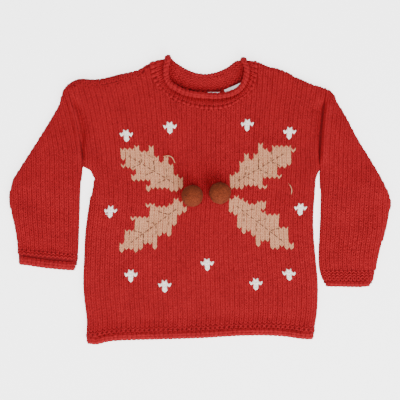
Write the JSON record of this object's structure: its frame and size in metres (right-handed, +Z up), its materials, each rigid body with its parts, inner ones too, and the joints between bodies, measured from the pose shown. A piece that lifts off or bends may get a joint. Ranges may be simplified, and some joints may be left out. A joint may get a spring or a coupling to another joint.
{
  "type": "child's christmas sweater",
  "caption": "Child's knitted christmas sweater laid flat on its back, with rolled neck, cuffs and hem and two felt balls on the front.",
  "frame": {"origin": "centre of the sweater's outline on the surface it lies on", "axes": "+X towards the sleeve at the viewer's right, +Y towards the neck, +Z up out of the front"},
  "size_m": [0.4557, 0.3465, 0.0317],
  "materials": {
    "red_wool": "knitted",
    "brown_felt": "felted",
    "white_tape": "woven"
  },
  "bodies": {
    "root": {"front": "red_wool", "back": "red_wool", "sleeve_left": "red_wool", "sleeve_right": "red_wool", "collar": "red_wool", "hem_roll": "red_wool", "cuff_roll_left": "red_wool", "cuff_roll_right": "red_wool", "ball_left": "brown_felt", "ball_right": "brown_felt", "neck_label": "white_tape", "size_label": "white_tape"}
  },
  "joints": []
}
